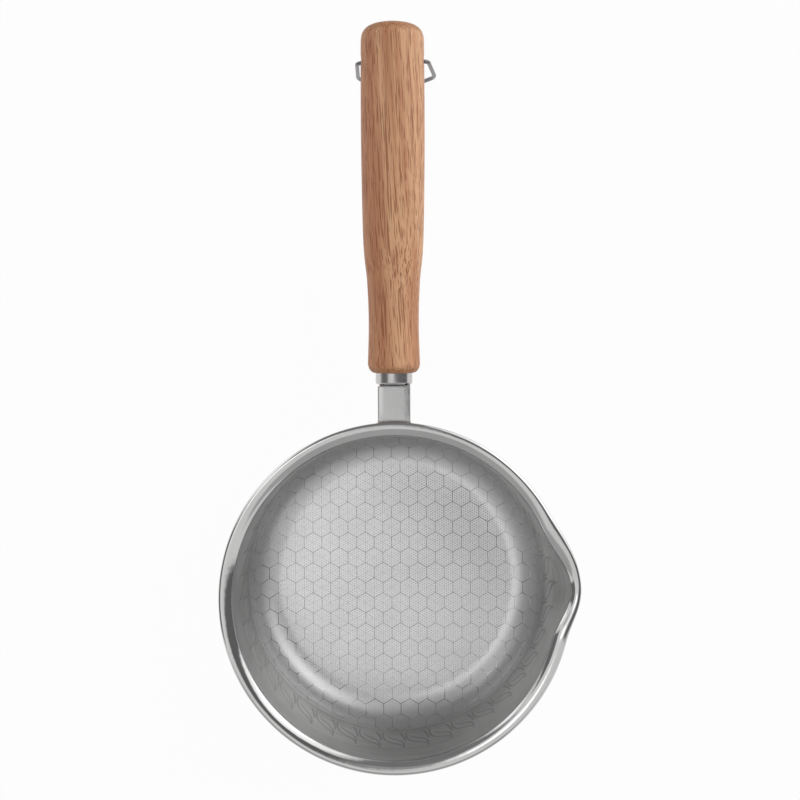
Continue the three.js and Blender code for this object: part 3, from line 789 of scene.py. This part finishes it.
# Flange folded down along one side of the strap
def sideFlange(bm, strap, side):
    down = gripFrame.to_3x3() @ Vector((0, 0, -1))
    along = gripFrame.to_3x3() @ Vector((0, 1, 0))
    toStrap = gripFrame.inverted()
    before = set(bm.verts)
    centre = strap[0].co + down * bracket["corner"]
    spun = bmesh.ops.spin(bm, geom=strap + chain(bm, strap), cent=centre, axis=along * side,
                          angle=math.pi / 2, steps=bracket["cornerSteps"], use_duplicate=False)["geom_last"]
    edges = edgesOf(spun)
    shoulder = bracket["flangeShoulder"]
    for drop in (shoulder, bracket["strapRise"] - bracket["corner"] + bracket["drop"] - shoulder):
        moved, edges = pullEdges(bm, edges, down * drop)
        front = min(v.co.y for v in moved)
        for vert in moved:
            if vert.co.y < front + closeBy:
                vert.co.y = wallRadius(vert.co.z, saddleGap + bracket["sheet"]) + bracket["flangeGap"]
    # one flange stops short of the end tab and leaves a small notch, the other reaches it
    rear = max((toStrap @ vert.co).y for vert in strap)
    ends = [vert for vert in set(bm.verts) - before if (toStrap @ vert.co).y > rear - closeBy]
    bmesh.ops.translate(bm, verts=ends, vec=along * bracket["flangeGrowth"][side])


# Widens one side of the fold or the saddle and gives the vertices of its new edge
def sideWing(bm, line, step):
    edges = chain(bm, line)
    for _ in range(bracket["wingSteps"]):
        moved, edges = pullEdges(bm, edges, (step / bracket["wingSteps"], 0, 0))
    return moved


def bracketPiece():
    bm = bmesh.new()
    half = bracket["width"] / 2
    flat = half - bracket["corner"]
    strip, strapEnd, foldStart, saddleStart = bracketStrip()
    first = [bm.verts.new((-flat, y, z)) for y, z in strip]
    row = chain(bm, first)
    for _ in range(bracket["columns"]):
        moved, row = pullEdges(bm, row, (2 * flat / bracket["columns"], 0, 0))
    order = {v: min(range(len(strip)), key=lambda i: abs(v.co.y - strip[i][0]) + abs(v.co.z - strip[i][1]))
             for v in moved}
    corner = bracket["saddleCorner"]
    for side, line in ((-1, first), (1, sorted(moved, key=order.get))):
        sideFlange(bm, line[strapEnd:foldStart + 1], side)
        sideWing(bm, line[foldStart:saddleStart + 1], side * (half - flat))
        for vert in sideWing(bm, line[saddleStart:], side * (bracket["saddleWidth"] / 2 - flat)):
            near = min(vert.co.z - bracket["saddleBottom"], bracket["saddleTop"] - vert.co.z)
            vert.co.x -= side * (corner - math.sqrt(max(0, corner ** 2 - max(0, corner - near) ** 2)))
    bmesh.ops.remove_doubles(bm, verts=bm.verts, dist=looseGap)
    # wrap the saddle and the fold round the pan, easing off along the strap
    for vert in bm.verts:
        ease = 1 - smoothShare(vert.co.y, strapStart[0], strapStart[0] + bracket["wrapEase"])
        vert.co.y -= ease * (vert.co.y - math.sqrt(vert.co.y ** 2 - vert.co.x ** 2))
    bmesh.ops.recalc_face_normals(bm, faces=bm.faces)
    topFace = max(bm.faces, key=lambda f: f.calc_center_median().z)
    if topFace.normal.z < 0:
        bmesh.ops.reverse_faces(bm, faces=bm.faces)
    bmesh.ops.solidify(bm, geom=bm.faces, thickness=bracket["sheet"])
    replaced = ["handle_bracket"]
    piece = finishPiece(bm, "handleBracket", ["bracketSatin"], replaced, bracket["smooth"])
    soften = piece.modifiers.new("softEdges", "BEVEL")
    soften.width = bracket["softEdge"] * mm
    soften.segments = bracket["softSegments"]
    soften.limit_method = "ANGLE"
    soften.angle_limit = math.radians(bracket["softAngle"])


bracketPiece()


# Spot welds: round electrode marks, slightly dished
welds = {"radius": 2.4, "spread": 12.3, "heights": (33.0, 46.5), "proud": 0.12, "edgeDrop": 0.1,
         "rim": 0.25, "rimInner": 0.55, "rimDrop": 0.05, "dish": 0.25, "dishShares": (0.55, 0.3, 0),
         "turns": 32}


def weldProfile():
    full = bracket["sheet"] + welds["proud"]
    edge = welds["radius"]
    inside = full - welds["rimDrop"]
    profile = [(0, 0), (edge, 0), (edge, full - welds["edgeDrop"]), (edge - welds["rim"], full)]
    profile.append((edge - welds["rimInner"], inside))
    for share in welds["dishShares"]:
        profile.append((edge * share, inside - welds["dish"] * (1 - share ** 2)))
    return profile


def spotWelds():
    number = 0
    for height in welds["heights"]:
        for side in (-1, 1):
            number += 1
            radius = wallRadius(height, bowl["sheet"] + bracket["gap"] / 2)
            turn = math.asin(welds["spread"] / radius) * side
            place = Matrix.Rotation(turn, 4, "Z") @ Matrix.Translation((0, radius, height))
            place = place @ Matrix.Rotation(-wallLean, 4, "X") @ Matrix.Rotation(-math.pi / 2, 4, "X")
            bm = turnedPiece(weldProfile(), welds["turns"])
            replaced = ["spot_weld_%d" % number]
            finishPiece(bm, "spotWeld%d" % number, ["weldMark"], replaced, place=place)


spotWelds()


# Bolt with a chamfered hexagon head, and the split washer under it
bolt = {"radius": 3.0, "flats": 10.0, "headHeight": 4.0, "headLap": 0.5, "reach": 30.0, "chamfer": 0.6,
        "threadPitch": 1.0, "threadDepth": 0.3, "tipDepth": 0.4, "turns": 32}
washer = {"radius": 5.2, "bore": 3.2, "thickness": 1.5, "split": 9.0, "backGap": 0.1, "frontGap": 0.02,
          "steps": 40}
washerFront = -handle["ferruleLength"] - 2 * bracket["gap"] - bracket["sheet"]
washerBack = washerFront - washer["thickness"]
headFront = washerBack - bracket["gap"]


def handleBolt():
    bm = bmesh.new()
    headRadius = bolt["flats"] / math.sqrt(3)
    head = Matrix.Translation((0, 0, headFront - bolt["headHeight"] / 2))
    head = head @ Matrix.Rotation(math.pi / 6, 4, "Z")
    made = bmesh.ops.create_cone(bm, cap_ends=True, segments=6, radius1=headRadius, radius2=headRadius,
                                 depth=bolt["headHeight"], matrix=head)
    low = min(v.co.z for v in made["verts"])
    outer = [e for e in bm.edges if all(v.co.z < low + closeBy for v in e.verts)]
    bmesh.ops.bevel(bm, geom=outer, offset=bolt["chamfer"], affect="EDGES", segments=2, profile=0.5,
                    material=-1)
    radius = bolt["radius"]
    pitch = bolt["threadPitch"]
    start = headFront - bolt["headLap"]
    shank = [(0, start), (radius, start)]
    along = headFront
    while along < bolt["reach"] - pitch:
        shank += [(radius, along), (radius - bolt["threadDepth"], along + pitch / 2)]
        along += pitch
    shank += [(radius - bolt["tipDepth"], bolt["reach"]), (0, bolt["reach"])]
    spinProfile(bm, shank, bolt["turns"])
    closeUp(bm)
    finishPiece(bm, "handleBolt", ["zincPlate"], ["handle_bolt"], place=turnedFrame)


def lockWasher():
    bm = bmesh.new()
    split = math.radians(washer["split"])
    back = washerBack + washer["backGap"]
    front = washerFront - washer["frontGap"]
    section = [(washer["bore"], back), (washer["radius"], back)]
    section += [(washer["radius"], front), (washer["bore"], front)]
    verts = [bm.verts.new((r * math.cos(split), r * math.sin(split), z)) for r, z in section]
    edges = chain(bm, verts + verts[:1])
    bmesh.ops.spin(bm, geom=verts + edges, cent=(0, 0, 0), axis=(0, 0, 1), angle=2 * math.pi - 2 * split,
                   steps=washer["steps"], use_duplicate=False)
    bmesh.ops.holes_fill(bm, edges=bm.edges, sides=4)
    closeUp(bm)
    finishPiece(bm, "lockWasher", ["zincPlate"], ["lock_washer"], place=turnedFrame)


handleBolt()
lockWasher()


# Hanging ring: one wire, run straight and bent at each corner, its ends meeting inside the cross hole
ring = {"wire": 0.93, "sides": 16, "buttGap": 0.4, "topHalf": 16.1, "shoulderHalf": 18.3,
        "shoulderDrop": 24.5, "apexDrop": 46.0, "topCorner": 2.5, "shoulderCorner": 3.5, "apexCorner": 9.0,
        "roll": 4.0, "bendSteps": 10, "slack": (0, -0.3, -0.4), "smooth": 50}


def hangingRing():
    half = [(Vector((ring["topHalf"], 0, 0)), ring["topCorner"]),
            (Vector((ring["shoulderHalf"], 0, -ring["shoulderDrop"])), ring["shoulderCorner"])]
    mirrored = [(Vector((-place.x, 0, place.z)), trim) for place, trim in reversed(half)]
    corners = half + [(Vector((0, 0, -ring["apexDrop"])), ring["apexCorner"])] + mirrored
    start = Vector((ring["buttGap"] / 2, 0, 0))
    end = Vector((-ring["buttGap"] / 2, 0, 0))
    bm = bmesh.new()
    facing = Matrix.Translation(start) @ Matrix.Rotation(math.pi / 2, 4, "Y")
    bmesh.ops.create_circle(bm, cap_ends=True, segments=ring["sides"], radius=ring["wire"], matrix=facing)
    loop = list(bm.edges)
    place = start
    stops = [p for p, trim in corners] + [end]
    for i, (corner, trim) in enumerate(corners):
        into = (corner - (stops[i - 1] if i else start)).normalized()
        out = (stops[i + 1] - corner).normalized()
        loop = pullEdges(bm, loop, corner - into * trim - place)[1]
        angle = into.angle(out)
        radius = trim / math.tan(angle / 2)
        axis = into.cross(out).normalized()
        bend = corner - into * trim + axis.cross(into) * radius
        made = bmesh.ops.spin(bm, geom=[*{v for e in loop for v in e.verts}, *loop], cent=bend, axis=axis,
                              angle=angle, steps=ring["bendSteps"], use_duplicate=False)["geom_last"]
        loop = edgesOf(made)
        place = corner + out * trim
    loop = pullEdges(bm, loop, end - place)[1]
    bmesh.ops.holes_fill(bm, edges=loop, sides=ring["sides"])
    closeUp(bm)
    pivot = gripFrame @ Vector((0, grip["holeAlong"], 0)) + Vector(ring["slack"])
    lean = Matrix.Translation(pivot) @ Matrix.Rotation(math.radians(-ring["roll"]), 4, "Y")
    finishPiece(bm, "hangingRing", ["wireBright"], ["hanging_ring"], ring["smooth"],
                body="ring", place=lean)


hangingRing()


# CAD nodes that stay take their finish here
for node, look in {"base_core_disc": "coreAluminium", "threaded_insert": "insertBrass"}.items():
    mesh = nodes[node].data
    mesh.materials.clear()
    mesh.materials.append(finish[look])
print("kept nodes dressed")


# Studio, in metres: a white floor under a dome that carries soft panels of more and less light
studio = {"radius": 2.0, "domeFoot": -0.02, "plain": 0.7, "soft": 0.05, "level": 1.16, "domeCuts": (64, 32),
          "floorRadius": 3.0, "floorHeight": -0.0003, "floorTone": 0.9, "floorShare": 0.96, "floorSides": 96}
panels = (
    # centre and half size are seen from below, as shares of the dome's radius
    {"centre": (-0.16, 0.68), "half": (0.35, 0.46), "light": 0.2},
    {"centre": (0.0, 0.19), "half": (0.1, 0.15), "light": 0.34},
    {"centre": (0.55, -0.02), "half": (0.5, 0.25), "turn": -17, "light": 0.13},
    {"centre": (-0.1, -0.8), "half": (0.65, 0.37), "light": 0.4},
    {"centre": (-0.37, 0.0), "half": (0.26, 0.28), "turn": 12, "light": 0.77},
    {"centre": (-0.21, 0.05), "half": (0.11, 0.1), "light": 1.6},
    {"centre": (-0.8, -0.05), "half": (0.2, 0.3), "light": 0.15},
    {"centre": (-0.8, 0.58), "half": (0.2, 0.16), "light": 1.2},
    {"centre": (0.69, 0.51), "half": (0.4, 0.39), "light": 1.12},
    {"centre": (0.72, 0.54), "half": (0.24, 0.26), "light": 1.75},
)


def panelLight():
    material, tree = bareMaterial("studioLight")
    place = put(tree, "TexCoord").outputs["Object"]
    shares = put(tree, "Mapping", {"Vector": place, "Scale": (1 / studio["radius"],) * 3}).outputs[0]
    seen = put(tree, "SeparateXYZ", {0: shares})
    light = studio["plain"]
    soft = studio["soft"]
    for panel in panels:
        masks = []
        offset = [calc(tree, "SUBTRACT", seen.outputs[axis], panel["centre"][axis]) for axis in (0, 1)]
        turn = math.radians(panel.get("turn", 0))
        sides = ((math.cos(turn), math.sin(turn)), (-math.sin(turn), math.cos(turn)))
        for side, half in zip(sides, panel["half"]):
            along = calc(tree, "ADD", *[times(tree, o, c) for o, c in zip(offset, side)])
            inset = calc(tree, "SUBTRACT", half, calc(tree, "ABSOLUTE", along))
            masks.append(spread(tree, inset, -soft, soft))
        mask = times(tree, *masks)
        light = put(tree, "Mix", {0: mask, 2: light, 3: panel["light"]}).outputs[0]
    strength = times(tree, light, studio["level"])
    glow = put(tree, "Emission", {"Color": grey(1.0), "Strength": strength})
    put(tree, "OutputMaterial", {"Surface": glow.outputs[0]})
    return material


def studioDome():
    bm = bmesh.new()
    around, upward = studio["domeCuts"]
    bmesh.ops.create_uvsphere(bm, u_segments=around, v_segments=upward, radius=studio["radius"])
    bmesh.ops.bisect_plane(bm, geom=[*bm.verts, *bm.edges, *bm.faces], plane_co=(0, 0, studio["domeFoot"]),
                           plane_no=(0, 0, 1), clear_inner=True)
    bmesh.ops.reverse_faces(bm, faces=bm.faces)
    dome = newObject(bm, "studioDome")
    dome.data.materials.append(panelLight())
    dome.visible_camera = False


def whiteFloor():
    material, tree = bareMaterial("paleFloor")
    ray = put(tree, "LightPath")
    shown = calc(tree, "MAXIMUM", ray.outputs["Is Camera Ray"], ray.outputs["Is Glossy Ray"])
    shown = calc(tree, "MAXIMUM", shown, ray.outputs["Is Transmission Ray"])
    matt = put(tree, "BsdfDiffuse", {"Color": grey(studio["floorTone"])})
    white = put(tree, "Emission", {"Color": grey(1.0), "Strength": 1.0})
    share = times(tree, shown, studio["floorShare"])
    mixed = put(tree, "MixShader", {0: share, 1: matt.outputs[0], 2: white.outputs[0]})
    put(tree, "OutputMaterial", {"Surface": mixed.outputs[0]})
    bm = bmesh.new()
    under = Matrix.Translation((0, 0, studio["floorHeight"]))
    bmesh.ops.create_circle(bm, cap_ends=True, segments=studio["floorSides"], radius=studio["floorRadius"],
                            matrix=under)
    floor = newObject(bm, "paleFloor")
    floor.data.materials.append(material)


def whiteWorld():
    world = bpy.data.worlds.new("whiteRoom")
    world.use_nodes = True
    bpy.context.scene.world = world
    tree = world.node_tree
    tree.nodes.clear()
    back = put(tree, "Background", {"Color": grey(1.0), "Strength": 1.0})
    put(tree, "OutputWorld", {"Surface": back.outputs[0]})


studioDome()
whiteFloor()
whiteWorld()


# Camera straight above, a little beyond the rim on the handle side, as the photograph was taken
camera = {"place": (2.7, 90.2, 565.2), "lens": 49.77, "sensor": 36, "roll": -0.27, "clip": (0.01, 50)}


def topCamera():
    data = bpy.data.cameras.new("topCamera")
    data.lens = camera["lens"]
    data.sensor_width = camera["sensor"]
    data.clip_start, data.clip_end = camera["clip"]
    made = bpy.data.objects.new("topCamera", data)
    made.location = Vector(camera["place"]) * mm
    made.rotation_euler = (0, 0, math.radians(camera["roll"]))
    bpy.context.scene.collection.objects.link(made)
    bpy.context.scene.camera = made


topCamera()
bpy.context.scene.view_settings.view_transform = "Standard"
print("studio ready")
